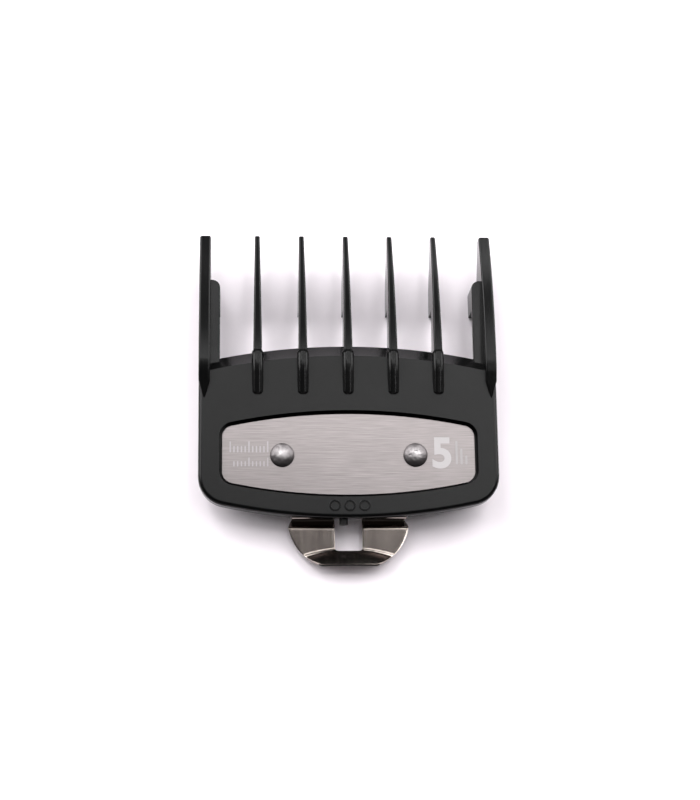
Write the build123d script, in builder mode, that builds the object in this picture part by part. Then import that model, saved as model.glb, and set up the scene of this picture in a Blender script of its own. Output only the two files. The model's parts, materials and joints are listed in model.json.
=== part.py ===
"""Clipper guard comb: a moulded comb body, a riveted face plate and a sprung heel clip.

Millimetres. X runs across the comb, +Y towards the tooth tips, +Z towards the skin.
The origin is the middle of the blade seat: the flat underside that lies on the clipper's blade.
"""
from build123d import *
from math import sqrt
import os

# ---------------------------------------------------------------- driving dimensions
BLADE_WIDTH = 46.0  # the standard detachable blade that the comb clips onto
SIDE_PLAY = 0.1  # between a wall and the blade's side
WALL = 1.9  # thickness of the two outer walls
THICKNESS = 2.8  # body, from the blade seat to the face

CREST_Y = 7.5  # the ribs' highest line, which the skin rides on
CREST = 3.9
CREST_ROUNDING = 10.0  # in the side view
TIP_Y = 31.5
TIP_TOP = 0.0  # height of the teeth's tops at their tips
TIP_BACK = -1.6  # height of their undersides there
STOP_Y = 18.1  # the shoulders that the blade's front edge rests against
HOOK_FRONT_Y = 23.2  # where the undersides start to rise towards the tips
HOOK_DEPTH = 4.4  # how far teeth and walls reach below the seat in front of the stop

FRONT_Y = 11.65  # middle of the bowed front edge between the teeth
FRONT_RADIUS = 109.0
BEVEL_RUN = 2.3
BEVEL_LAND = 0.15  # what the front bevel leaves upright above the seat
HEEL_Y = -18.2
HEEL_RADIUS = 100.0
HEEL_CORNER = 5.0
RIM_ROUNDING = 0.7
BACK_ROUNDING = 0.3

TOOTH_PITCH = 7.58
INNER_TEETH = 5
FIN_TIP_HALF = 0.42
FIN_HALF = 0.72  # where the fin meets the body
FIN_ROUNDING = 0.25
NOSE_ROUNDING = 0.6
RIB_HALF = 0.97
RIB_ROUNDING = 0.75
RIB_FRONT_Y = 10.8
RIB_END_Y = 2.6
RIB_END = 3.2  # height of the ribs' rear ends
WALL_POINT_Y = 1.4  # where the walls' raised edges run out in a point
WALL_TIP_CORNER = 0.45
WALL_ROUNDING = 0.3
EDGE_ROUNDING = 0.2

RAIL_DEPTH = 2.8  # the walls' reach below the seat beside the blade
RAIL_END_Y = -8.5
RAIL_RUNOUT = 2.5
LEDGE_WIDTH = 1.6  # inside each wall, under the blade's outer teeth
LEDGE_TOP = 1.0
LEDGE_CORNER = 1.35

PLATE_HALF = 21.1
PLATE_HALF_HEIGHT = 6.9
PLATE_Y = -7.35
PLATE_RADIUS = 96.0  # of its bowed long edges
PLATE_CORNER = 2.0
PLATE_THICKNESS = 0.5
PLATE_SINK = 0.85  # below the body's face
PLATE_GAP = 0.42  # all round, in its recess
PLATE_CHAMFER = 0.08

RIVET_X = 11.1
RIVET_Y = -7.5
SHANK_RADIUS = 1.15
DOME_RADIUS = 2.03
DOME_HEIGHT = 1.15
TAIL_RADIUS = 1.75
TAIL_HEIGHT = 0.35

SHEET = 0.5  # the clip's spring steel
POCKET_DEPTH = 0.9  # in the body's back, for the clip's leaf
POCKET_GAP = 0.3
LEAF_FRONT_Y = -4.5
LEAF_HALF = 13.4  # at the rivets
LEAF_CORNER = 1.5
STRAP_HALF = 9.5  # at the heel
STRAP_Y = -14.0
FLEX_Y = -17.25  # where the still leaf ends and the latch begins
FLEX_RELIEF = 0.45  # deeper end of the pocket, room for the latch's bend to lift
BACK_WALL_Y = -17.85  # middle of the sheet where it turns down behind the heel
CATCH_Y = -16.62  # corner of the J whose nose snaps under the blade's heel, before rounding
CATCH_Z = -4.95
CREASE_Y = -19.1
TAB_Z = -2.15
TAB_BEND_Y = -23.25
LIP_Y = -25.57
LIP_Z = -0.7
BEND_RADII = [0.45, 0.65, 0.35, 2.4]
STRAP_END_Y = -17.6  # where the strap starts to widen towards the crease
TAB_HALF = 10.05  # widest, at the crease
TAB_SHOULDER = (8.35, -22.85)  # a point on the tab's round side
LIP_HALF = 4.0
TAB_END_Y = -25.75
WINDOW_HALF = 2.3
WINDOW_FRONT_Y = -13.0
WINDOW_HEEL_Y = -23.1
WINDOW_CORNER = 0.6

MARK_Y = -16.1  # moulded rings on the face near the heel
MARK_PITCH = 2.45
MARK_RADIUS = 0.95
MARK_LINE = 0.28
MARK_HEIGHT = 0.12
GATE_X = -1.0  # moulding stub at the heel
GATE_RADIUS = 0.7
GATE_LENGTH = 0.9

# ---------------------------------------------------------------- worked out from them
WALL_INNER = BLADE_WIDTH / 2 + SIDE_PLAY
HALF_WIDTH = WALL_INNER + WALL
PLATE_TOP = THICKNESS - PLATE_SINK
PLATE_BACK = PLATE_TOP - PLATE_THICKNESS
LEAF_TOP = POCKET_DEPTH
LEAF_BACK = LEAF_TOP - SHEET
BIG = 10.0  # overshoot of cutting and intersecting shapes
# The top of every tooth is one long arc, level at the crest and falling to the tip.
TOP_RADIUS = ((TIP_Y - CREST_Y) ** 2 + (CREST - TIP_TOP) ** 2) / (2 * (CREST - TIP_TOP))

os.makedirs("parts", exist_ok=True)


def arc_sag(half_chord, radius):
    """How far a circular arc has dropped at half_chord from its middle."""
    return radius - sqrt(radius**2 - half_chord**2)


def top_arc(rear_y):
    """The skin-side line of a tooth, from tip to rear_y, in the side view."""
    middle = (TIP_Y + rear_y) / 2
    return ThreePointArc(
        (TIP_Y, TIP_TOP),
        (middle, CREST - arc_sag(middle - CREST_Y, TOP_RADIUS)),
        (rear_y, CREST - arc_sag(rear_y - CREST_Y, TOP_RADIUS)),
    )


def barrel(grow):
    """Outline of the face plate, or with grow of its recess: bowed edges, round corners."""
    half = PLATE_HALF + grow
    middle = PLATE_HALF_HEIGHT + grow
    corner = middle - arc_sag(half, PLATE_RADIUS)
    with BuildSketch() as outline:
        with BuildLine():
            ThreePointArc((-half, corner), (0, middle), (half, corner))
            Line((half, corner), (half, -corner))
            ThreePointArc((half, -corner), (0, -middle), (-half, -corner))
            Line((-half, -corner), (-half, corner))
        make_face()
        fillet(outline.vertices(), PLATE_CORNER + grow)
    return outline.sketch


def leaf_outline(grow):
    """Outline of the clip's leaf, or with grow of its pocket: wide at the rivets, then a strap."""
    with BuildSketch() as outline:
        with BuildLine():
            right_side = Polyline(
                (0, LEAF_FRONT_Y + grow),
                (LEAF_HALF + grow, LEAF_FRONT_Y + grow),
                (LEAF_HALF + grow, RIVET_Y - 3 - grow / 2),
                (STRAP_HALF + grow, STRAP_Y - grow / 2),
                (STRAP_HALF + grow, HEEL_Y - 2),
                (0, HEEL_Y - 2),
            )
            mirror(right_side, about=Plane.YZ)
        make_face()
        fillet(outline.vertices().group_by(Axis.Y)[-1], LEAF_CORNER + grow)
    return outline.sketch


def top_edges(ridge):
    """The long edges of a ridge's skin side, and those of its nose."""
    tops = ridge.faces().filter_by(lambda face: face.normal_at().Z > 0.2)
    return tops.edges().filter_by(lambda edge: abs(edge.tangent_at(0.5).X) < 0.9)


# ---------------------------------------------------------------- one thin tooth's fin
# Shallow over the blade, deep in front of the stop, tapering towards the tip.
with BuildPart() as fin:
    with BuildSketch(Plane.YZ) as fin_side:
        with BuildLine():
            top = top_arc(RIB_FRONT_Y - 0.6)
            Polyline(
                top @ 1,
                (CREST_Y, CREST - 0.5),
                (CREST_Y, POCKET_DEPTH),
                (FRONT_Y - 4, 0),
                (STOP_Y, 0),
                (STOP_Y, -HOOK_DEPTH),
                (HOOK_FRONT_Y, -HOOK_DEPTH),
                (TIP_Y, TIP_BACK),
                (TIP_Y, TIP_TOP),
            )
        make_face()
        fillet(fin_side.vertices().group_by(Axis.X)[-1], NOSE_ROUNDING)
    extrude(amount=BIG, both=True)
    with BuildSketch(Plane.XY.offset(-BIG)):
        with BuildLine():
            Polyline(
                (FIN_TIP_HALF, TIP_Y + 1),
                (FIN_HALF, FRONT_Y),
                (FIN_HALF, CREST_Y - 1),
                (-FIN_HALF, CREST_Y - 1),
                (-FIN_HALF, FRONT_Y),
                (-FIN_TIP_HALF, TIP_Y + 1),
                close=True,
            )
        make_face()
    extrude(amount=2 * BIG, mode=Mode.INTERSECT)
    fillet(top_edges(fin), FIN_ROUNDING)

# ---------------------------------------------------------------- the rib that a fin ends in
with BuildPart() as rib:
    with BuildSketch(Plane.YZ) as rib_side:
        with BuildLine():
            Polyline(
                (RIB_FRONT_Y, THICKNESS - 1),
                (RIB_FRONT_Y - 0.6, CREST - 0.1),
                (CREST_Y, CREST),
                (RIB_END_Y + 0.4, RIB_END),
                (RIB_END_Y, THICKNESS - 0.1),
                (RIB_END_Y, POCKET_DEPTH),
                (RIB_FRONT_Y, POCKET_DEPTH),
                close=True,
            )
        make_face()
        fillet(rib_side.vertices().sort_by(Axis.Y)[-1], CREST_ROUNDING)
    extrude(amount=RIB_HALF, both=True)
    fillet(top_edges(rib), RIB_ROUNDING)

# ---------------------------------------------------------------- the outer wall at +X
# Above the face it ends in a point at its rear; its tip is square with round corners.
with BuildPart() as wall:
    with BuildSketch(Plane.YZ) as wall_side:
        with BuildLine():
            top_arc(CREST_Y)
            Polyline(
                (CREST_Y, CREST),
                (WALL_POINT_Y, THICKNESS - 0.1),
                (WALL_POINT_Y, POCKET_DEPTH),
                (FRONT_Y - 4, 0),
                (STOP_Y, 0),
                (STOP_Y, -HOOK_DEPTH),
                (HOOK_FRONT_Y, -HOOK_DEPTH),
                (TIP_Y, TIP_BACK),
                (TIP_Y, TIP_TOP),
            )
        make_face()
        fillet(wall_side.vertices().sort_by(Axis.Y)[-1], CREST_ROUNDING)
        fillet(wall_side.vertices().group_by(Axis.X)[-1], NOSE_ROUNDING)
    extrude(amount=HALF_WIDTH + BIG)
    with BuildSketch(Plane.XY.offset(-BIG)) as wall_plan:
        with BuildLine():
            Polyline(
                (WALL_INNER, TIP_Y),
                (WALL_INNER, CREST_Y - 2.5),
                ((WALL_INNER + HALF_WIDTH) / 2, WALL_POINT_Y),
                (HALF_WIDTH, CREST_Y - 2.5),
                (HALF_WIDTH, TIP_Y),
                close=True,
            )
        make_face()
        fillet(wall_plan.vertices().group_by(Axis.Y)[-1], WALL_TIP_CORNER)
    extrude(amount=2 * BIG, mode=Mode.INTERSECT)
    fillet(top_edges(wall), WALL_ROUNDING)

# Rail beside the blade: the wall carried on below the seat, running out near the heel.
with BuildPart() as rail:
    with BuildSketch(Plane.YZ.offset(WALL_INNER)):
        with BuildLine():
            Polyline(
                (RAIL_END_Y, 0.5),
                (RAIL_END_Y, -0.2),
                (RAIL_END_Y + RAIL_RUNOUT, -RAIL_DEPTH),
                (STOP_Y + 0.5, -RAIL_DEPTH),
                (STOP_Y + 0.5, 0.5),
                close=True,
            )
        make_face()
    extrude(amount=WALL)
    fillet(rail.edges().filter_by(Axis.Y).group_by(Axis.Z)[0], BACK_ROUNDING)

# Ledge inside the wall, with the block that stops the blade's front corner.
with BuildPart() as ledge:
    with BuildSketch(Plane.XY) as ledge_plan:
        with Locations((WALL_INNER, (FRONT_Y - 5 + HOOK_FRONT_Y) / 2)):
            Rectangle(2 * LEDGE_WIDTH, HOOK_FRONT_Y - FRONT_Y + 5)
        fillet(ledge_plan.vertices().group_by(Axis.X)[0].sort_by(Axis.Y)[-1], LEDGE_CORNER)
    extrude(amount=LEDGE_TOP)
    with BuildSketch(Plane.XY.offset(-HOOK_DEPTH)) as block_plan:
        with Locations((WALL_INNER, (STOP_Y + HOOK_FRONT_Y) / 2)):
            Rectangle(2 * LEDGE_WIDTH, HOOK_FRONT_Y - STOP_Y)
        fillet(block_plan.vertices().group_by(Axis.X)[0].sort_by(Axis.Y)[-1], LEDGE_CORNER)
    extrude(amount=HOOK_DEPTH)
    fillet(ledge.faces().sort_by(Axis.Z)[-1].edges().filter_by(Axis.Y), EDGE_ROUNDING)

# ---------------------------------------------------------------- the moulded comb body
front_end = FRONT_Y - arc_sag(HALF_WIDTH, FRONT_RADIUS)
heel_end = HEEL_Y + arc_sag(HALF_WIDTH, HEEL_RADIUS)
with BuildPart() as comb_body:
    with BuildSketch() as outline:
        with BuildLine():
            ThreePointArc((-HALF_WIDTH, front_end), (0, FRONT_Y), (HALF_WIDTH, front_end))
            Line((HALF_WIDTH, front_end), (HALF_WIDTH, heel_end))
            ThreePointArc((HALF_WIDTH, heel_end), (0, HEEL_Y), (-HALF_WIDTH, heel_end))
            Line((-HALF_WIDTH, heel_end), (-HALF_WIDTH, front_end))
        make_face()
        fillet(outline.vertices().group_by(Axis.Y)[0], HEEL_CORNER)
    extrude(amount=THICKNESS)
    side_and_heel = comb_body.edges().filter_by(lambda edge: edge.center().Y < front_end - 3)
    fillet(side_and_heel.group_by(Axis.Z)[0], BACK_ROUNDING)
    # The bowed front bevel is a cone about the centre of the front arc.
    with BuildSketch(Plane.YZ):
        with BuildLine():
            Polyline(
                (FRONT_Y - BEVEL_RUN, THICKNESS),
                (FRONT_Y + 0.001, BEVEL_LAND),
                (FRONT_Y + BEVEL_RUN, BEVEL_LAND),
                (FRONT_Y + BEVEL_RUN, THICKNESS + 1),
                (FRONT_Y - BEVEL_RUN, THICKNESS + 1),
                close=True,
            )
        make_face()
    revolve(axis=Axis((0, FRONT_Y - FRONT_RADIUS, 0), (0, 0, 1)), mode=Mode.SUBTRACT)
    side_and_heel = comb_body.edges().filter_by(lambda edge: edge.center().Y < front_end - 3)
    fillet(side_and_heel.group_by(Axis.Z)[-1], RIM_ROUNDING)

    # Teeth
    first_tooth = -TOOTH_PITCH * (INNER_TEETH - 1) / 2
    with Locations(*[(first_tooth + n * TOOTH_PITCH, 0) for n in range(INNER_TEETH)]):
        add(fin.part)
        add(rib.part)

    # Outer walls, and the rails and ledges that guide and stop the blade
    for side_piece in (wall, rail, ledge):
        add(side_piece.part)
        add(side_piece.part.mirror(Plane.YZ))

    # Recess for the face plate
    with BuildSketch(Plane.XY.offset(PLATE_BACK)):
        with Locations((0, PLATE_Y)):
            add(barrel(PLATE_GAP))
    extrude(amount=THICKNESS, mode=Mode.SUBTRACT)

    # Pocket in the back for the clip's leaf, open at the heel and deeper there
    with BuildSketch(Plane.XY):
        add(leaf_outline(POCKET_GAP))
    extrude(amount=POCKET_DEPTH, mode=Mode.SUBTRACT)
    with BuildSketch(Plane.XY):
        with Locations((0, FLEX_Y - 1.5)):
            Rectangle(2 * (STRAP_HALF + POCKET_GAP), 4)
    extrude(amount=POCKET_DEPTH + FLEX_RELIEF, mode=Mode.SUBTRACT)

    # Rivet holes
    with BuildSketch(Plane.XY):
        with Locations((-RIVET_X, RIVET_Y), (RIVET_X, RIVET_Y)):
            Circle(SHANK_RADIUS)
    extrude(amount=THICKNESS, mode=Mode.SUBTRACT)

    # Three moulded rings on the face, and the gate stub at the heel
    with BuildSketch(Plane.XY.offset(THICKNESS)):
        with GridLocations(MARK_PITCH, 1, 3, 1):
            with Locations((0, MARK_Y)):
                Circle(MARK_RADIUS)
                Circle(MARK_RADIUS - MARK_LINE, mode=Mode.SUBTRACT)
    extrude(amount=MARK_HEIGHT)
    with BuildSketch(Plane.XZ.offset(-HEEL_Y - 0.5)):
        with Locations((GATE_X, THICKNESS / 2 - 0.2)):
            Circle(GATE_RADIUS)
    extrude(amount=GATE_LENGTH + 0.5)
comb_body.part.label = "comb_body"
export_step(comb_body.part, "parts/comb_body.step")

# ---------------------------------------------------------------- face plate
with BuildPart() as face_plate:
    with BuildSketch(Plane.XY.offset(PLATE_BACK)):
        with Locations((0, PLATE_Y)):
            add(barrel(0))
        with Locations((-RIVET_X, RIVET_Y), (RIVET_X, RIVET_Y)):
            Circle(SHANK_RADIUS, mode=Mode.SUBTRACT)
    extrude(amount=PLATE_THICKNESS)
    chamfer(face_plate.faces().sort_by(Axis.Z)[-1].outer_wire().edges(), PLATE_CHAMFER)
face_plate.part.label = "face_plate"
export_step(face_plate.part, "parts/face_plate.step")

# ---------------------------------------------------------------- rivets
dome_sphere = (DOME_RADIUS**2 + DOME_HEIGHT**2) / (2 * DOME_HEIGHT)
dome_half = DOME_RADIUS / 2
dome_middle = (dome_half, PLATE_TOP + DOME_HEIGHT - arc_sag(dome_half, dome_sphere))
for side, name in ((-1, "rivet_left"), (1, "rivet_right")):
    with BuildPart() as rivet:
        with BuildSketch(Plane.XZ.offset(-RIVET_Y)):
            with Locations((side * RIVET_X, 0)):
                with BuildLine(mode=Mode.PRIVATE) as half:
                    ThreePointArc(
                        (0, PLATE_TOP + DOME_HEIGHT), dome_middle, (DOME_RADIUS, PLATE_TOP)
                    )
                    Polyline(
                        (DOME_RADIUS, PLATE_TOP),
                        (SHANK_RADIUS, PLATE_TOP),
                        (SHANK_RADIUS, LEAF_BACK),
                        (TAIL_RADIUS, LEAF_BACK),
                        (TAIL_RADIUS - TAIL_HEIGHT, LEAF_BACK - TAIL_HEIGHT),
                        (0, LEAF_BACK - TAIL_HEIGHT),
                        (0, PLATE_TOP + DOME_HEIGHT),
                    )
                add(make_face(half.edges(), mode=Mode.PRIVATE))
        revolve(axis=Axis((side * RIVET_X, RIVET_Y, 0), (0, 0, 1)))
    rivet.part.label = name
    export_step(rivet.part, f"parts/{name}.step")

# ---------------------------------------------------------------- spring clip, still part
with BuildPart() as clip_leaf:
    with BuildSketch(Plane.XY.offset(LEAF_BACK)):
        add(leaf_outline(0))
        with Locations((0, FLEX_Y - BIG / 2)):
            Rectangle(4 * LEAF_HALF, BIG, mode=Mode.SUBTRACT)
        with Locations((0, WINDOW_FRONT_Y - BIG / 2)):
            Rectangle(2 * WINDOW_HALF, BIG, mode=Mode.SUBTRACT)
        with Locations((-RIVET_X, RIVET_Y), (RIVET_X, RIVET_Y)):
            Circle(SHANK_RADIUS, mode=Mode.SUBTRACT)
    extrude(amount=SHEET)
clip_leaf.part.label = "clip_leaf"
export_step(clip_leaf.part, "parts/clip_leaf.step")

# ---------------------------------------------------------------- spring clip, flexing part
# Middle line of the bent sheet: down and inwards behind the blade's heel, round the catch,
# up and out to the crease, along the thumb tab and up its curled end.
with BuildPart() as clip_latch:
    with BuildSketch(Plane.YZ):
        with BuildLine():
            FilletPolyline(
                (FLEX_Y, LEAF_TOP - SHEET / 2),
                (BACK_WALL_Y, LEAF_TOP - SHEET / 2),
                (CATCH_Y, CATCH_Z),
                (CREASE_Y, TAB_Z),
                (TAB_BEND_Y, TAB_Z),
                (LIP_Y, LIP_Z),
                radius=BEND_RADII,
            )
        trace(line_width=SHEET)
    extrude(amount=BIG + BIG, both=True)
    with BuildSketch(Plane.XY.offset(-BIG)) as tab_plan:
        with BuildLine():
            right_side = Polyline(
                (0, FLEX_Y + 1),
                (STRAP_HALF, FLEX_Y + 1),
                (STRAP_HALF, STRAP_END_Y),
                (TAB_HALF, CREASE_Y),
            )
            right_curve = ThreePointArc((TAB_HALF, CREASE_Y), TAB_SHOULDER, (LIP_HALF, TAB_END_Y))
            lip_line = Line((LIP_HALF, TAB_END_Y), (0, TAB_END_Y))
            mirror((right_side, right_curve, lip_line), about=Plane.YZ)
        make_face()
        with Locations((0, (FLEX_Y + 2 + WINDOW_HEEL_Y) / 2)):
            RectangleRounded(
                2 * WINDOW_HALF, FLEX_Y + 2 - WINDOW_HEEL_Y, WINDOW_CORNER, mode=Mode.SUBTRACT
            )
    extrude(amount=2 * BIG, mode=Mode.INTERSECT)
clip_latch.part.label = "clip_latch"
export_step(clip_latch.part, "parts/clip_latch.step")
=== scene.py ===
"""Looks for the clipper guard comb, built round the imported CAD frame.

Metres, with lengths written as millimetres times MM. The spring clip's outline and the etched
marks are worked out in plain millimetres. X runs across the comb, +Y towards the tooth tips, +Z
towards the skin.
"""
import json
import math
import random

import bmesh
import bpy
from mathutils import Matrix, Vector

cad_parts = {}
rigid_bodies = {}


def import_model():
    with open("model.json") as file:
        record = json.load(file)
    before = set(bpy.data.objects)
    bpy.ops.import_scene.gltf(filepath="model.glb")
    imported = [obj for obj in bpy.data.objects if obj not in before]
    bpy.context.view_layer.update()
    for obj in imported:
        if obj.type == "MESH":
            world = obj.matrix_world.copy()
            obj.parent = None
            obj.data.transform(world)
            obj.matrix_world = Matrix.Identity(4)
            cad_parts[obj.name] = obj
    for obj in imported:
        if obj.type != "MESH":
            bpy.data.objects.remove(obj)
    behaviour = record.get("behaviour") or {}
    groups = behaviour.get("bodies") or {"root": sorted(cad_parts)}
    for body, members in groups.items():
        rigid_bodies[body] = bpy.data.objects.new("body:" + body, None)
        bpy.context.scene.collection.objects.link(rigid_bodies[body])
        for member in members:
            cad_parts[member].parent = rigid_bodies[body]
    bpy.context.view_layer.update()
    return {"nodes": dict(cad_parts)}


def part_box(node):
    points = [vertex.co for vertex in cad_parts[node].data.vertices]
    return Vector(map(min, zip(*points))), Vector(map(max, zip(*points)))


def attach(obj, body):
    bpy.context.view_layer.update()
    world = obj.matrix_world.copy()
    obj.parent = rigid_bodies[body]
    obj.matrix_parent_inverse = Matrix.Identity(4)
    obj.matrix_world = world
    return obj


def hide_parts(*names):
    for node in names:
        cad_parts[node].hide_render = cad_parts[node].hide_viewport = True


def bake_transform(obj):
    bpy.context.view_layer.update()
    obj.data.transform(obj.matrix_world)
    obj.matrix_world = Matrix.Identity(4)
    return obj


for leftover in list(bpy.data.objects):
    bpy.data.objects.remove(leftover)
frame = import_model()


def middle_of(node):
    """The middle of a CAD node's box."""
    low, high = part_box(node)
    return (low + high) / 2


MM = 0.001
RIVETS = ("rivet_left", "rivet_right")
SHANK_RADIUS = 1.15 * MM  # of the rivets, and of their holes in the plate
PLATE_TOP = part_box("face_plate")[1].z


# ---------------------------------------------------------------- mesh helpers
def new_object(name, bm, material, smooth_angle=None):
    """Turns a bmesh into a scene object with one material, smooth up to smooth_angle degrees."""
    bmesh.ops.recalc_face_normals(bm, faces=bm.faces)
    mesh = bpy.data.meshes.new(name)
    bm.to_mesh(mesh)
    bm.free()
    mesh.materials.append(material)
    if smooth_angle is not None:
        mesh.shade_smooth()
        mesh.set_sharp_from_angle(angle=math.radians(smooth_angle))
    obj = bpy.data.objects.new(name, mesh)
    bpy.context.scene.collection.objects.link(obj)
    return obj


def evaluated_mesh(obj):
    """A new mesh of the object as its modifiers leave it, or of a text's solid letters."""
    bpy.context.view_layer.update()
    evaluated = obj.evaluated_get(bpy.context.evaluated_depsgraph_get())
    return bpy.data.meshes.new_from_object(evaluated)


def apply_modifiers(obj):
    """Bakes the object's modifiers into its mesh."""
    mesh = evaluated_mesh(obj)
    obj.modifiers.clear()
    obj.data = mesh


def round_edges(obj, width, segments, angle=40):
    """Rounds the edges that turn by more than angle degrees."""
    bevel = obj.modifiers.new("edge_rounding", "BEVEL")
    bevel.width = width
    bevel.segments = segments
    bevel.limit_method = "ANGLE"
    bevel.angle_limit = math.radians(angle)
    bevel.use_clamp_overlap = True
    apply_modifiers(obj)


def smooth(obj, angle):
    """Smooth shading up to angle degrees, with wide flats kept flat."""
    obj.data.shade_smooth()
    obj.data.set_sharp_from_angle(angle=math.radians(angle))
    weighted = obj.modifiers.new("flat_faces", "WEIGHTED_NORMAL")
    weighted.weight = 100
    weighted.keep_sharp = True
    apply_modifiers(obj)


def closed_loop(bm, points, z):
    """The edges of a closed outline at height z."""
    ring = [bm.verts.new((x, y, z)) for x, y in points]
    return [bm.edges.new((a, b)) for a, b in zip(ring, ring[1:] + ring[:1])]


# ---------------------------------------------------------------- material helpers
NOISE = (0.3, 0.7)  # where most of a noise texture's values lie


class Nodes:
    """A material's node tree, with short calls to add and join nodes."""

    def __init__(self, name):
        self.material = bpy.data.materials.new(name)
        self.material.use_nodes = True
        self.tree = self.material.node_tree
        self.shader = self.tree.nodes["Principled BSDF"]

    def add(self, kind, values=None, **links):
        """Adds a node; values sets plain sockets by name, links joins outputs to sockets."""
        node = self.tree.nodes.new("ShaderNode" + kind)
        for key, value in (values or {}).items():
            if key in node.inputs:
                node.inputs[key].default_value = value
            else:
                setattr(node, key, value)
        for key, output in links.items():
            self.tree.links.new(output, node.inputs[key.replace("_", " ")])
        return node

    def place(self, scale):
        """Object coordinates times scale, a vector in features per metre."""
        where = self.add("TexCoord").outputs["Object"]
        return self.add("Mapping", {"Scale": scale}, Vector=where).outputs["Vector"]

    def spot(self):
        """The place on the object, as X, Y and Z outputs in metres."""
        return self.add("SeparateXYZ", Vector=self.place((1, 1, 1))).outputs

    def noise(self, scale, detail=3.0, roughness=0.5, distortion=0.0):
        """A noise; scale is its features per metre along X, Y and Z."""
        values = {"Scale": 1.0, "Detail": detail, "Roughness": roughness}
        values["Distortion"] = distortion
        return self.add("TexNoise", values, Vector=self.place(scale)).outputs["Fac"]

    def spread(self, value, low, high, start=0.0, stop=1.0):
        """Maps value from start..stop to low..high, clamped."""
        values = {"From Min": start, "From Max": stop, "To Min": low, "To Max": high}
        return self.add("MapRange", values, Value=value).outputs["Result"]

    def math(self, operation, *terms):
        """A Math node on numbers and outputs."""
        node = self.add("Math", {"operation": operation})
        for socket, term in zip(node.inputs, terms):
            if isinstance(term, (int, float)):
                socket.default_value = term
            else:
                self.tree.links.new(term, socket)
        return node.outputs[0]

    def blend(self, factor, dark, light):
        """A colour between two colours."""
        ramp = self.add("ValToRGB", Fac=factor)
        ramp.color_ramp.elements[0].color = (*dark, 1)
        ramp.color_ramp.elements[1].color = (*light, 1)
        return ramp.outputs["Color"]

    def bump(self, height, distance, strength=1.0, normal=None):
        """A normal that follows height, on top of another normal if one is given."""
        links = {"Height": height}
        if normal is not None:
            links["Normal"] = normal
        values = {"Distance": distance, "Strength": strength}
        return self.add("Bump", values, **links).outputs["Normal"]

    def set(self, **values):
        """Sets the shader's uniform values."""
        for key, value in values.items():
            self.shader.inputs[key.replace("_", " ")].default_value = value

    def join(self, **links):
        """Joins outputs to the shader's sockets."""
        for key, output in links.items():
            self.tree.links.new(output, self.shader.inputs[key.replace("_", " ")])


# ---------------------------------------------------------------- materials
FACE_Z = 2.8 * MM  # the body's flat face
FACE_FRONT_Y = 12 * MM
HEEL_Y = -18.25 * MM  # behind it there is only the rough stub where the moulding gate broke off


def nylon():
    """Black moulding: satin face with fine eroded grain, glossier teeth, ribs and edges."""
    n = Nodes("black_nylon")
    spot = n.spot()
    level = n.math("COMPARE", spot["Z"], FACE_Z, 0.02 * MM)
    face = n.math("MULTIPLY", level, n.math("LESS_THAN", spot["Y"], FACE_FRONT_Y))
    stub = n.math("LESS_THAN", spot["Y"], HEEL_Y)
    matt = n.math("MULTIPLY_ADD", stub, 2.0, face)
    grain = n.noise((9000, 9000, 9000), detail=2)
    pebble = n.noise((2600, 2600, 2600), detail=2)
    patches = n.noise((120, 120, 120), detail=4, roughness=0.6)
    tone = n.noise((300, 300, 300), detail=5, roughness=0.65)
    gloss = n.spread(patches, 0.15, 0.21, *NOISE)
    n.set(IOR=1.53)
    n.join(
        Base_Color=n.blend(tone, (0.0015, 0.00155, 0.0016), (0.0035, 0.0036, 0.0037)),
        Roughness=n.math("MULTIPLY_ADD", matt, 0.17, gloss),
        Specular_IOR_Level=n.math("MULTIPLY_ADD", face, 0.07, 0.15),
    )
    rounded = n.add("Bevel", {"Radius": 0.09 * MM, "samples": 4}).outputs["Normal"]
    soft = n.bump(pebble, 0.006 * MM, normal=rounded)
    n.join(Normal=n.bump(grain, 0.003 * MM, normal=soft))
    return n.material


def brushed_steel():
    """Stainless plate with fine grooves along X."""
    n = Nodes("brushed_plate")
    fine = n.noise((220, 9500, 1500), detail=2, roughness=0.6)
    coarse = n.noise((110, 5600, 500), detail=2, roughness=0.5)
    broad = n.noise((40, 160, 40), detail=2)
    grooves = n.math("MULTIPLY_ADD", coarse, 0.45, fine)
    tone = n.spread(grooves, 0, 1, 0.45, 1.0)
    along_grooves = {"direction_type": "UV_MAP", "uv_map": "brushing"}
    n.set(Metallic=1.0, Anisotropic=0.55)
    n.join(
        Base_Color=n.blend(tone, (0.185, 0.168, 0.168), (0.29, 0.265, 0.264)),
        Roughness=n.spread(broad, 0.29, 0.34, *NOISE),
        Normal=n.bump(grooves, 0.003 * MM, strength=0.4),
        Tangent=n.add("Tangent", along_grooves).outputs[0],
    )
    return n.material


def rivet_steel():
    """Set rivet: lighter at the dome's middle, a painted highlight, and darker towards the rim,
    painted shade.
    """
    n = Nodes("rivet_steel")
    spot = n.spot()
    axis = middle_of("rivet_right")  # the left one is its mirror image
    across = n.math("SUBTRACT", n.math("ABSOLUTE", spot["X"]), axis.x)
    along = n.math("SUBTRACT", spot["Y"], axis.y)
    across_squared = n.math("MULTIPLY", across, across)
    from_axis = n.math("SQRT", n.math("MULTIPLY_ADD", along, along, across_squared))
    # painted highlight and painted shade: crown is 1 at the dome's middle and 0 towards its rim, and
    # lightens the base colour where it is high
    crown = n.spread(from_axis, 1.0, 0.0, 0.2 * MM, 1.25 * MM)
    scratch = n.noise((900, 5200, 2400), detail=4, roughness=0.7, distortion=1.2)
    haze = n.noise((1400, 1400, 1400), detail=3)
    painted_highlight = n.math("MULTIPLY", crown, n.spread(haze, 0.75, 1.25))
    n.set(Metallic=1.0)
    n.join(
        Base_Color=n.blend(painted_highlight, (0.14, 0.130, 0.132), (0.43, 0.409, 0.414)),
        Roughness=n.spread(scratch, 0.40, 0.52, 0.3, 0.75),
        Normal=n.bump(scratch, 0.03 * MM),
    )
    return n.material


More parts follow.
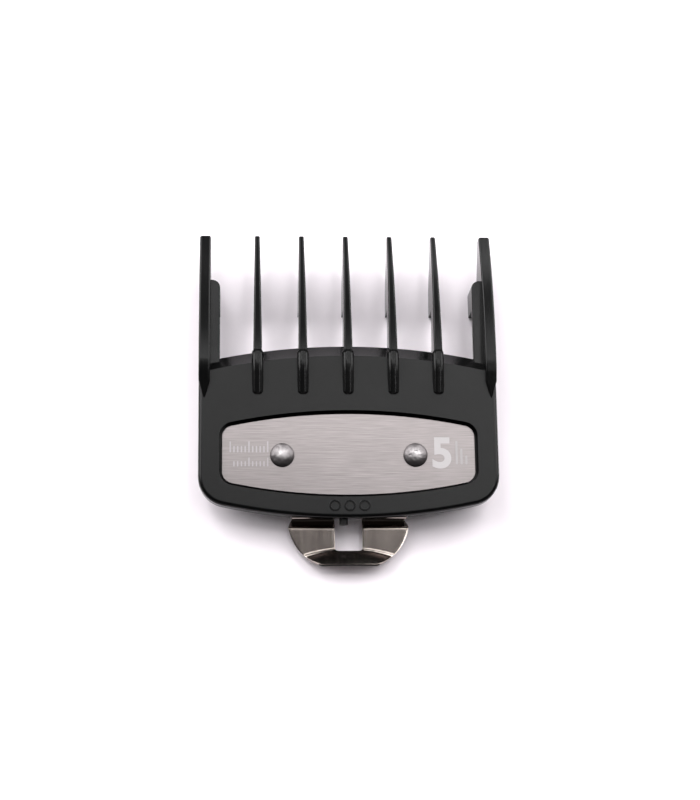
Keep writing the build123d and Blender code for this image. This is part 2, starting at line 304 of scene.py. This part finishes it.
def spring_steel():
    """Plated strip with faint rolling lines and a light haze."""
    n = Nodes("spring_steel")
    rolled = n.noise((4200, 140, 140), detail=3, roughness=0.6)
    haze = n.noise((500, 500, 500), detail=4)
    n.set(Metallic=1.0)
    n.join(
        Base_Color=n.blend(haze, (0.25, 0.217, 0.197), (0.31, 0.277, 0.254)),
        Roughness=n.spread(rolled, 0.12, 0.18, *NOISE),
        Normal=n.bump(rolled, 0.0012 * MM, strength=0.5),
    )
    return n.material


def cut_steel_painted_shade():
    """The strip's sheared end: dull, with fine score lines down it, its colour painted near black as
    painted shade.
    """
    n = Nodes("cut_steel_painted_shade")
    scored = n.noise((5200, 300, 300), detail=3, roughness=0.6)
    n.set(Metallic=1.0)
    n.join(
        # painted shade: a near-black colour on the sheared end
        Base_Color=n.blend(scored, (0.005, 0.0046, 0.0042), (0.018, 0.0166, 0.0151)),
        Roughness=n.spread(scored, 0.45, 0.6, *NOISE),
        Normal=n.bump(scored, 0.004 * MM, strength=0.6),
    )
    return n.material


def etched(name, tone):
    """Frosted marks on the plate, matt and paler than it; tone sets how pale."""
    n = Nodes(name)
    frost = n.noise((14000, 14000, 14000), detail=2)
    dark = (0.80 * tone, 0.765 * tone, 0.775 * tone)
    light = (1.0 * tone, 0.96 * tone, 0.975 * tone)
    n.set(Metallic=0.6)
    n.join(
        Base_Color=n.blend(frost, dark, light),
        Roughness=n.spread(frost, 0.62, 0.8),
        Normal=n.bump(frost, 0.002 * MM),
    )
    return n.material


def white_floor():
    """White paper with a very faint glow, as in a bright room."""
    n = Nodes("white_paper")
    n.set(Roughness=0.9, Specular_IOR_Level=0.1)
    n.set(Emission_Strength=0.03, Emission_Color=(1, 0.95, 0.99, 1))
    fibre = n.noise((900, 900, 900), detail=3)
    n.join(Base_Color=n.blend(fibre, (0.89, 0.835, 0.88), (0.91, 0.855, 0.90)))
    return n.material


# ---------------------------------------------------------------- comb body
frame["nodes"]["comb_body"].data.materials.clear()
frame["nodes"]["comb_body"].data.materials.append(nylon())

# ---------------------------------------------------------------- face plate
PLATE_RADIUS = 96 * MM  # of its bowed long edges
PLATE_CORNER = 2 * MM
PLATE_ROUNDING = 0.09 * MM
BOW_STEPS = 24
CORNER_STEPS = 16
HOLE_STEPS = 48


def barrel_outline(half_width, half_height):
    """Bowed long edges, straight short edges and round corners, about the origin."""
    # A corner's centre lies one corner radius inside both the bowed and the straight edge.
    to_centre = PLATE_RADIUS - PLATE_CORNER
    corner_x = half_width - PLATE_CORNER
    corner_y = half_height - PLATE_RADIUS + math.sqrt(to_centre**2 - corner_x**2)
    corner_start = math.asin(corner_x / to_centre)
    quarter = []
    for step in range(BOW_STEPS + 1):
        a = corner_start * step / BOW_STEPS
        bow_y = half_height - PLATE_RADIUS + PLATE_RADIUS * math.cos(a)
        quarter.append((PLATE_RADIUS * math.sin(a), bow_y))
    for step in range(1, CORNER_STEPS + 1):
        a = corner_start + (math.pi / 2 - corner_start) * step / CORNER_STEPS
        quarter.append((corner_x + PLATE_CORNER * math.sin(a), corner_y + PLATE_CORNER * math.cos(a)))
    right_half = quarter + [(x, -y) for x, y in reversed(quarter)]
    return right_half + [(-x, y) for x, y in reversed(right_half)][1:-1]


def hole_outline(centre):
    """A rivet hole's circle."""
    turns = [math.tau * step / HOLE_STEPS for step in range(HOLE_STEPS)]
    return [
        (centre.x + SHANK_RADIUS * math.cos(a), centre.y + SHANK_RADIUS * math.sin(a))
        for a in turns
    ]


def plate():
    """Barrel-shaped sheet with a rounded rim and two rivet holes."""
    low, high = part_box("face_plate")
    centre_y = (high.y + low.y) / 2
    outline = barrel_outline(high.x, (high.y - low.y) / 2)
    bm = bmesh.new()
    edges = closed_loop(bm, [(x, y + centre_y) for x, y in outline], high.z)
    for node in RIVETS:
        edges += closed_loop(bm, hole_outline(middle_of(node)), high.z)
    bmesh.ops.triangle_fill(bm, use_beauty=True, use_dissolve=True, edges=edges)
    made = bmesh.ops.extrude_face_region(bm, geom=bm.faces[:])
    back = [v for v in made["geom"] if isinstance(v, bmesh.types.BMVert)]
    bmesh.ops.translate(bm, verts=back, vec=(0, 0, low.z - high.z))

    obj = new_object("face_plate_brushed", bm, brushed_steel())
    round_edges(obj, PLATE_ROUNDING, 4)
    smooth(obj, 35)
    repeats = 20  # of the brushing map in a metre
    brushing = obj.data.uv_layers.new(name="brushing")
    for loop in obj.data.loops:
        co = obj.data.vertices[loop.vertex_index].co
        brushing.data[loop.index].uv = (co.x * repeats, co.y * repeats)
    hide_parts("face_plate")
    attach(obj, "comb")


plate()

# ---------------------------------------------------------------- rivets
TAIL_RADIUS = 1.75 * MM
DENTS = 46
DOME_ROWS = 44
FADING_ROWS = 16  # at the dome's foot, where the dents fade out
AROUND = 96


def setting_dents(dome_radius):
    """Place, size and depth of each dent that the setting tool left on the dome."""
    dents = []
    for _ in range(DENTS):
        spot = Vector((random.uniform(-1, 1), random.uniform(-1, 1))) * dome_radius * 0.8
        dents.append((spot, random.uniform(0.14, 0.34) * MM, random.uniform(0.012, 0.045) * MM))
    return dents


def dent_depth(dents, x, y):
    """How deep the dents are together at x, y from the rivet's axis."""
    total = 0.0
    for spot, size, depth in dents:
        distance_squared = (x - spot.x) ** 2 + (y - spot.y) ** 2
        total += depth * math.exp(-distance_squared / size**2)
    return total


def rivet_profile(dome_radius, dome_height, tail_end):
    """Radius and height down the rivet: dome, flat under it, shank, and upset tail."""
    leaf_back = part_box("clip_leaf")[0].z
    profile = []
    for row in range(1, DOME_ROWS + 1):
        a = math.radians(2 * row)
        profile.append((dome_radius * math.sin(a), PLATE_TOP + dome_height * math.cos(a)))
    return profile + [
        (dome_radius - 0.04 * MM, PLATE_TOP),
        (SHANK_RADIUS, PLATE_TOP),
        (SHANK_RADIUS, leaf_back),
        (TAIL_RADIUS - 0.06 * MM, leaf_back),
        (TAIL_RADIUS, leaf_back - 0.05 * MM),
        (TAIL_RADIUS - 0.12 * MM, leaf_back - 0.22 * MM),
        (TAIL_RADIUS - 0.4 * MM, tail_end),
        (0.55 * MM, tail_end),
        (0.3 * MM, tail_end + 0.1 * MM),
    ]


def rivet(node, seed, material):
    """Dome, shank and upset tail turned in one, the dome dimpled by setting."""
    low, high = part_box(node)
    centre = middle_of(node)
    dome_radius = (high.x - low.x) / 2
    random.seed(seed)
    dents = setting_dents(dome_radius)
    bm = bmesh.new()
    rows = []
    for index, (r, z) in enumerate(rivet_profile(dome_radius, high.z - PLATE_TOP, low.z)):
        fade = max(0.0, min(1.0, (DOME_ROWS - 1 - index) / FADING_ROWS))
        row = []
        for k in range(AROUND):
            a = math.tau * k / AROUND
            x, y = r * math.cos(a), r * math.sin(a)
            drop = dent_depth(dents, x, y) * fade
            row.append(bm.verts.new((centre.x + x, centre.y + y, z - drop)))
        rows.append(row)
    for upper, lower in zip(rows, rows[1:]):
        for k in range(AROUND):
            j = (k + 1) % AROUND
            bm.faces.new((upper[k], upper[j], lower[j], lower[k]))
    crown = bm.verts.new((centre.x, centre.y, high.z - dent_depth(dents, 0, 0)))
    tail_middle = bm.verts.new((centre.x, centre.y, low.z + 0.12 * MM))
    for k in range(AROUND):
        j = (k + 1) % AROUND
        bm.faces.new((crown, rows[0][j], rows[0][k]))
        bm.faces.new((tail_middle, rows[-1][k], rows[-1][j]))
    obj = new_object(node + "_set", bm, material, smooth_angle=40)
    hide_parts(node)
    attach(obj, "comb")


rivet_material = rivet_steel()
for rivet_node, dent_seed in zip(RIVETS, (5, 12)):
    rivet(rivet_node, dent_seed, rivet_material)

# ---------------------------------------------------------------- spring clip, in the side view
SHEET = 0.5 * MM
STRAP_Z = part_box("clip_leaf")[1].z - SHEET / 2
TAB_Z = -2.15 * MM
LIP_TILT = math.radians(33)
TAB_START_Y = -22.0  # mm
BEND_SPACING = 0.35 * MM
# middle line of the strip up to the tab: corner in mm, bend radius in mm
CORNERS = [
    ((-17.25, 0.65), 0),
    ((-17.85, 0.65), 0.45),
    ((-16.62, -4.95), 0.65),
    ((-19.1, -2.15), 0.35),
    ((TAB_START_Y, -2.15), 0),
]


def straight_run(start, stop, spacing):
    """Evenly spaced points after start, up to stop."""
    count = max(1, round((stop - start).length / spacing))
    return [start.lerp(stop, (k + 1) / count) for k in range(count)]


def arc_run(start, stop, centre):
    """Points after start round a bend, up to stop, about one for every 7 degrees."""
    turn = (start - centre).angle_signed(stop - centre)
    count = max(6, round(abs(math.degrees(turn)) / 7))
    points = []
    for k in range(1, count + 1):
        arm = start - centre
        arm.rotate(Matrix.Rotation(-turn * k / count, 2))
        points.append(centre + arm)
    return points


def rounded_line(corners, spacing):
    """Points along straight runs joined by arcs, in metres."""
    points = [Vector(corners[0][0]) * MM]
    for index in range(1, len(corners) - 1):
        here = Vector(corners[index][0]) * MM
        back = (Vector(corners[index - 1][0]) * MM - here).normalized()
        ahead = (Vector(corners[index + 1][0]) * MM - here).normalized()
        radius = corners[index][1] * MM
        half = math.acos(max(-1, min(1, back.dot(ahead)))) / 2
        start = here + back * radius / math.tan(half)
        stop = here + ahead * radius / math.tan(half)
        centre = here + (back + ahead).normalized() * radius / math.sin(half)
        points += straight_run(points[-1], start, spacing)
        points += arc_run(start, stop, centre)
    last = Vector(corners[-1][0]) * MM
    return points + straight_run(points[-1], last, spacing)


def lip_rise(x, y):
    """Height over the tab of the turned-up end at plan position x, y; all in mm.

    The line where it starts to turn up is bowed, and its bend is wider towards the sides.
    """
    sideways = (x / 8) ** 2
    start_y = -22.3 - 1.3 * sideways
    radius = 1.4 + 0.5 * sideways
    reach = max(0.0, start_y - y)
    arc = radius * math.sin(LIP_TILT)
    if reach < arc:
        return radius - math.sqrt(radius**2 - reach**2)
    return radius * (1 - math.cos(LIP_TILT)) + (reach - arc) * math.tan(LIP_TILT)


# ---------------------------------------------------------------- spring clip, in plan, in mm
LEAF_FRONT_Y = -4.5
LEAF_HALF = 13.4  # half width at the rivets
LEAF_CORNER = 1.5
SHOULDER_Y = -10.5  # where the leaf starts to narrow
STRAP_Y = -14.0
STRAP_HALF = 9.5
WIDENING_Y = -17.6
CREASE_Y = -19.05
CREASE_HALF = 10.05
TAB_CENTRE = (1.707, -17.598)  # of the arc of the tab's side at +X
TAB_RADIUS = 8.4686
END_Y = -25.57
WINDOW = (-13.0, -23.1)  # its front and heel ends
WINDOW_HALF = 2.3
WINDOW_CORNER = 0.6


def leaf_half(y):
    """Half width of the flat leaf at y: round front corners, then a taper to the strap."""
    if y <= SHOULDER_Y:
        taper = min(1.0, max(0.0, (y - STRAP_Y) / (SHOULDER_Y - STRAP_Y)))
        return STRAP_HALF + (LEAF_HALF - STRAP_HALF) * taper
    corner_y = LEAF_FRONT_Y - LEAF_CORNER
    if y < corner_y:
        return LEAF_HALF
    return LEAF_HALF - LEAF_CORNER + math.sqrt(max(0.0, LEAF_CORNER**2 - (y - corner_y) ** 2))


def latch_half(y):
    """Half width of the latch at y: the strap, its flare to the crease, then the round tab."""
    if y > WIDENING_Y:
        return STRAP_HALF
    if y > CREASE_Y:
        flare = (WIDENING_Y - y) / (WIDENING_Y - CREASE_Y)
        return STRAP_HALF + (CREASE_HALF - STRAP_HALF) * flare
    centre_x, centre_y = TAB_CENTRE
    return centre_x + math.sqrt(TAB_RADIUS**2 - (y - centre_y) ** 2)


def window_half(y):
    """Half width of the window at y, or None outside it."""
    if not WINDOW[1] <= y <= WINDOW[0]:
        return None
    inside = min(WINDOW[0] - y, y - WINDOW[1])
    if inside >= WINDOW_CORNER:
        return WINDOW_HALF
    cut = WINDOW_CORNER - math.sqrt(WINDOW_CORNER**2 - (WINDOW_CORNER - inside) ** 2)
    return WINDOW_HALF - cut


# ---------------------------------------------------------------- spring clip, its mesh
SIDE_COLUMNS = 18  # on each side of the window
MIDDLE_COLUMNS = 10  # across the window's width
# a quad's four neighbours, by row and column, and the two corners that it shares with each
SIDES = {(-1, 0): (0, 1), (0, 1): (1, 2), (1, 0): (2, 3), (0, -1): (3, 0)}


def flat(y):
    """For a row of the leaf: the sheet's middle point and its normal, as a function of x."""
    return lambda x: (Vector((x, y * MM, STRAP_Z)), Vector((0, 0, 1)))


def bent(point, tangent):
    """The same for a row of the bends, from the middle line's point and direction there."""
    normal = Vector((0, tangent.y, -tangent.x))
    return lambda x: (Vector((x, point.x, point.y)), normal)


def curled(y):
    """The same for a row of the tab and its turned-up end."""
    def where(x):
        step = 0.01
        at = x / MM
        slope_x = (lip_rise(at + step, y) - lip_rise(at - step, y)) / (2 * step)
        slope_y = (lip_rise(at, y + step) - lip_rise(at, y - step)) / (2 * step)
        point = Vector((x, y * MM, TAB_Z + lip_rise(at, y) * MM))
        return point, Vector((-slope_x, -slope_y, 1)).normalized()
    return where


def leaf_rows():
    """Plan positions of the leaf's rows, close together at its corners and the window's end."""
    rows = [LEAF_FRONT_Y - d for d in (0, 0.02, 0.1, 0.25, 0.5, 0.9, 1.5, 3.5, 6.0, 7.5, 8.4)]
    rows += [WINDOW[0] - d for d in (0, 0.04, 0.14, 0.3, 0.6, 1.0, 1.8, 2.8)]
    return rows + [-16.2, -16.7]


def tab_rows():
    """Plan positions of the tab's rows, close together at the window's end and at its own."""
    rows = []
    y = TAB_START_Y
    while y > END_Y + 1.2:
        rows.append(y)
        y -= 0.14
    rows += [END_Y + d for d in (1.2, 1.05, 0.9, 0.76, 0.63, 0.5, 0.39, 0.29, 0.2, 0.12, 0.05, 0)]
    window_end = [WINDOW[1] + d for d in (0.6, 0.3, 0.14, 0.04, 0)]
    clear = [row for row in rows if min(abs(row - mark) for mark in window_end) > 0.06]
    return sorted(clear + window_end, reverse=True)


def strip_rows():
    """Rows across the strip, from the leaf to the lip: half width, plan position, and a
    function of x that gives the sheet's middle point and normal."""
    rows = [(leaf_half(y), y, flat(y)) for y in leaf_rows()]
    line = rounded_line(CORNERS, BEND_SPACING)
    for index, point in enumerate(line[:-1]):
        before = line[max(0, index - 1)]
        tangent = (line[index + 1] - before).normalized()
        rows.append((latch_half(point.x / MM), point.x / MM, bent(point, tangent)))
    return rows + [(latch_half(y), y, curled(y)) for y in tab_rows()]


def strip_row(bm, half, y, where):
    """One row's vertices, a pair for the sheet's two skins at each x, or None in the window."""
    opening = window_half(y)
    closed = opening is None or y in WINDOW
    inner = (WINDOW_HALF - WINDOW_CORNER if opening is None else opening) * MM
    outer = half * MM
    left = [-outer + (outer - inner) * k / SIDE_COLUMNS for k in range(SIDE_COLUMNS + 1)]
    filled = [-inner + 2 * inner * k / MIDDLE_COLUMNS for k in range(1, MIDDLE_COLUMNS)]
    middle = filled if closed else [None] * (MIDDLE_COLUMNS - 1)
    row = []
    for x in left + middle + [-x for x in reversed(left)]:
        if x is None:
            row.append(None)
            continue
        point, normal = where(x)
        half_sheet = normal * SHEET / 2
        row.append((bm.verts.new(point + half_sheet), bm.verts.new(point - half_sheet)))
    return row


def strip_mesh():
    """The bent strip with its window, before its edges are rounded and its holes punched."""
    bm = bmesh.new()
    rows = strip_rows()
    grid = [strip_row(bm, *row) for row in rows]
    quads = set()
    for i in range(len(grid) - 1):
        in_window = WINDOW[1] <= rows[i + 1][1] and rows[i][1] <= WINDOW[0]
        for k in range(len(grid[i]) - 1):
            open_gap = in_window and SIDE_COLUMNS <= k < SIDE_COLUMNS + MIDDLE_COLUMNS
            if not open_gap:
                quads.add((i, k))
    for i, k in quads:
        corners = [grid[i][k], grid[i][k + 1], grid[i + 1][k + 1], grid[i + 1][k]]
        bm.faces.new([corner[0] for corner in corners])
        bm.faces.new([corner[1] for corner in reversed(corners)])
        for (down, across), (a, b) in SIDES.items():
            if (i + down, k + across) not in quads:
                one, two = corners[a], corners[b]
                bm.faces.new((one[0], one[1], two[1], two[0]))
    bmesh.ops.delete(bm, geom=[v for v in bm.verts if not v.link_faces], context="VERTS")
    return bm


def punch_rivet_holes(obj):
    """Cuts the rivets' holes through the leaf, with a little play."""
    radius = SHANK_RADIUS + 0.02 * MM
    for node in RIVETS:
        centre = middle_of(node)
        cutter = bmesh.new()
        bmesh.ops.create_cone(
            cutter, cap_ends=True, segments=HOLE_STEPS, radius1=radius, radius2=radius, depth=4 * MM
        )
        bmesh.ops.translate(cutter, verts=cutter.verts, vec=(centre.x, centre.y, STRAP_Z))
        tool = new_object("hole_cutter", cutter, obj.data.materials[0])
        hole = obj.modifiers.new("rivet_hole", "BOOLEAN")
        hole.operation = "DIFFERENCE"
        hole.object = tool
        apply_modifiers(obj)
        bpy.data.objects.remove(tool)


def spring_clip():
    """One bent strip: riveted leaf, catch, thumb tab and turned-up end, with its window."""
    obj = new_object("spring_clip", strip_mesh(), spring_steel())
    obj.data.materials.append(cut_steel_painted_shade())
    punch_rivet_holes(obj)
    round_edges(obj, 0.07 * MM, 3, angle=50)
    smooth(obj, 40)
    # the sheared end takes the cut steel painted near black, painted shade
    for face in obj.data.polygons:
        sheared = face.center.y < (END_Y + 0.2) * MM and face.normal.y < -0.5
        face.material_index = 1 if sheared else 0
    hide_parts("clip_leaf", "clip_latch")
    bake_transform(obj)


spring_clip()

# ---------------------------------------------------------------- etched marks on the plate
MARK_BACK = PLATE_TOP - 0.01 * MM
MARK_FRONT = PLATE_TOP + 0.012 * MM
STROKE_STEPS = 8  # round each end of a stroke
SCALE_X = -19.7  # mm
SCALE_PITCH = 0.62


def finish_mark(obj):
    """Binds a mark to the plate it is etched on."""
    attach(obj, "comb")


def scale_row(first, last, foot, long, short, width):
    """Strokes at an even pitch, every fifth one long, as bars() takes them."""
    strokes = []
    for k in range(first, last + 1):
        height = long if k % 5 == 0 else short
        strokes.append((SCALE_X + SCALE_PITCH * k, foot, height, width))
    return strokes


def bars(name, strokes, material):
    """Round-ended upright strokes: each is x, y of its foot, height and width, in mm."""
    bm = bmesh.new()
    for x, y, height, width in strokes:
        r = width / 2
        ring = []
        for centre_y, start in ((y + height - r, 0), (y + r, math.pi)):
            for k in range(STROKE_STEPS + 1):
                a = start + math.pi * k / STROKE_STEPS
                ring.append((x + r * math.cos(a), centre_y + r * math.sin(a)))
        back = [bm.verts.new((px * MM, py * MM, MARK_BACK)) for px, py in ring]
        front = [bm.verts.new((px * MM, py * MM, MARK_FRONT)) for px, py in ring]
        bm.faces.new(front)
        bm.faces.new(list(reversed(back)))
        for k in range(len(ring)):
            j = (k + 1) % len(ring)
            bm.faces.new((back[k], back[j], front[j], front[k]))
    finish_mark(new_object(name, bm, material, smooth_angle=30))


def numeral(name, text, centre, height, material):
    """A plain numeral; its centre and height are in mm."""
    curve = bpy.data.curves.new(name + "_outline", "FONT")
    curve.body = text
    curve.size = 1
    curve.offset = 0.03
    curve.resolution_u = 8
    curve.extrude = 0.5
    source = bpy.data.objects.new(name + "_outline", curve)
    bpy.context.scene.collection.objects.link(source)
    mesh = evaluated_mesh(source)
    bpy.data.objects.remove(source)
    bm = bmesh.new()
    bm.from_mesh(mesh)
    bmesh.ops.remove_doubles(bm, verts=bm.verts, dist=1e-5)
    xs = [v.co.x for v in bm.verts]
    ys = [v.co.y for v in bm.verts]
    scale = height * MM / (max(ys) - min(ys))
    middle = Vector(((max(xs) + min(xs)) / 2, (max(ys) + min(ys)) / 2))
    for v in bm.verts:
        v.co.x = (v.co.x - middle.x) * scale + centre[0] * MM
        v.co.y = (v.co.y - middle.y) * scale + centre[1] * MM
        v.co.z = MARK_FRONT if v.co.z > 0 else MARK_BACK
    finish_mark(new_object(name, bm, material, smooth_angle=30))


strong_mark = etched("etched_mark", 0.48)
faint_mark = etched("etched_mark_faint", 0.39)
upper_scale = scale_row(0, 10, foot=-7.05, long=1.9, short=1.1, width=0.26)
lower_scale = scale_row(1, 10, foot=-9.4, long=1.5, short=0.9, width=0.22)
bars("etched_scale", upper_scale + lower_scale, faint_mark)
numeral("etched_number", "5", (15.5, -7.15), 5.3, strong_mark)
ticks = [(18.0 + 0.8 * k, -9.1, height, 0.34) for k, height in enumerate((4.0, 2.7, 1.5))]
bars("etched_ticks", ticks, faint_mark)


# ---------------------------------------------------------------- floor
def floor():
    """A wide sheet of white paper under the hooks and the clip's catch."""
    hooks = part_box("comb_body")[0].z
    body = frame["nodes"]["comb_body"].data
    front = max(v.co.y for v in body.vertices if v.co.z < hooks + 0.01 * MM)
    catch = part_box("clip_latch")[0].z
    latch = frame["nodes"]["clip_latch"].data
    rear = min(v.co.y for v in latch.vertices if v.co.z < catch + 0.02 * MM)
    slope = (hooks - catch) / (front - rear)
    half_side = 12.0
    clearance = 0.02 * MM
    bm = bmesh.new()
    square = []
    for x, y in ((-1, -1), (1, -1), (1, 1), (-1, 1)):
        z = catch + slope * (y * half_side - rear) - clearance
        square.append(bm.verts.new((x * half_side, y * half_side, z)))
    bm.faces.new(square)
    obj = new_object("floor", bm, white_floor())


floor()


# ---------------------------------------------------------------- light
def towards(across, along):
    """A direction, from its angles off the zenith towards +X and towards +Y, in degrees."""
    return math.tan(math.radians(across)), math.tan(math.radians(along)), 1


def softbox(name, direction, distance, size, power):
    """A light facing the comb from that direction; size is its height and its width."""
    light = bpy.data.lights.new(name, "AREA")
    light.shape = "RECTANGLE"
    light.size, light.size_y = size
    light.energy = power
    obj = bpy.data.objects.new(name, light)
    obj.location = Vector(direction).normalized() * distance
    obj.rotation_mode = "QUATERNION"
    obj.rotation_quaternion = Vector(direction).to_track_quat("Z", "X")
    bpy.context.scene.collection.objects.link(obj)


softbox("key_softbox", towards(3, 16.2), 0.9, (0.12, 0.62), 1.1)
softbox("corner_softbox", towards(17, 1), 0.9, (0.14, 0.14), 0.5)
for name, side, share in (("left", -1, 1.1), ("right", 1, 0.9)):
    softbox(name + "_strip", towards(25 * side, 36), 0.9, (0.6, 0.2), 1.35 * share)
    softbox(name + "_softbox", (side, 0.9, 0.7), 1.1, (1.0, 1.3), 21.5 * share)


def surroundings():
    """A dim room: grey ahead of the teeth, darker behind the heel, pale along the horizon."""
    world = bpy.data.worlds.new("room")
    world.use_nodes = True
    tree = world.node_tree
    where = tree.nodes.new("ShaderNodeTexCoord")
    split = tree.nodes.new("ShaderNodeSeparateXYZ")
    tree.links.new(where.outputs["Generated"], split.inputs[0])
    total = tree.nodes.new("ShaderNodeMath")
    # each fade: the direction's axis, where it starts and stops, and its strength there
    fades = (("Y", -0.1, 0.25, 0.05, 0.33), ("Z", 0.2, 0.0, 0.0, 0.5))
    for (axis, start, stop, low, high), term in zip(fades, total.inputs):
        fade = tree.nodes.new("ShaderNodeMapRange")
        fade.interpolation_type = "SMOOTHSTEP"
        fade.inputs["From Min"].default_value = start
        fade.inputs["From Max"].default_value = stop
        fade.inputs["To Min"].default_value = low
        fade.inputs["To Max"].default_value = high
        tree.links.new(split.outputs[axis], fade.inputs["Value"])
        tree.links.new(fade.outputs["Result"], term)
    background = tree.nodes["Background"]
    tree.links.new(total.outputs[0], background.inputs["Strength"])
    background.inputs["Color"].default_value = (1, 0.97, 0.98, 1)
    bpy.context.scene.world = world


surroundings()


# ---------------------------------------------------------------- camera
def camera():
    """Looks down on the face from the heel's side, a little from the left."""
    lens = bpy.data.cameras.new("camera")
    lens.sensor_fit = "HORIZONTAL"
    lens.sensor_width = 36
    lens.lens = 87.946
    lens.clip_start = 0.01
    lens.clip_end = 50
    obj = bpy.data.objects.new("camera", lens)
    obj.location = (-17.485 * MM, -64.554 * MM, 280.029 * MM)
    obj.rotation_mode = "ZYX"
    obj.rotation_euler = (0.2346, -0.0621, 0.0009)
    bpy.context.scene.collection.objects.link(obj)
    bpy.context.scene.camera = obj


camera()
bpy.context.scene.view_settings.view_transform = "Standard"
bpy.context.scene.view_settings.look = "None"

bpy.context.view_layer.update()
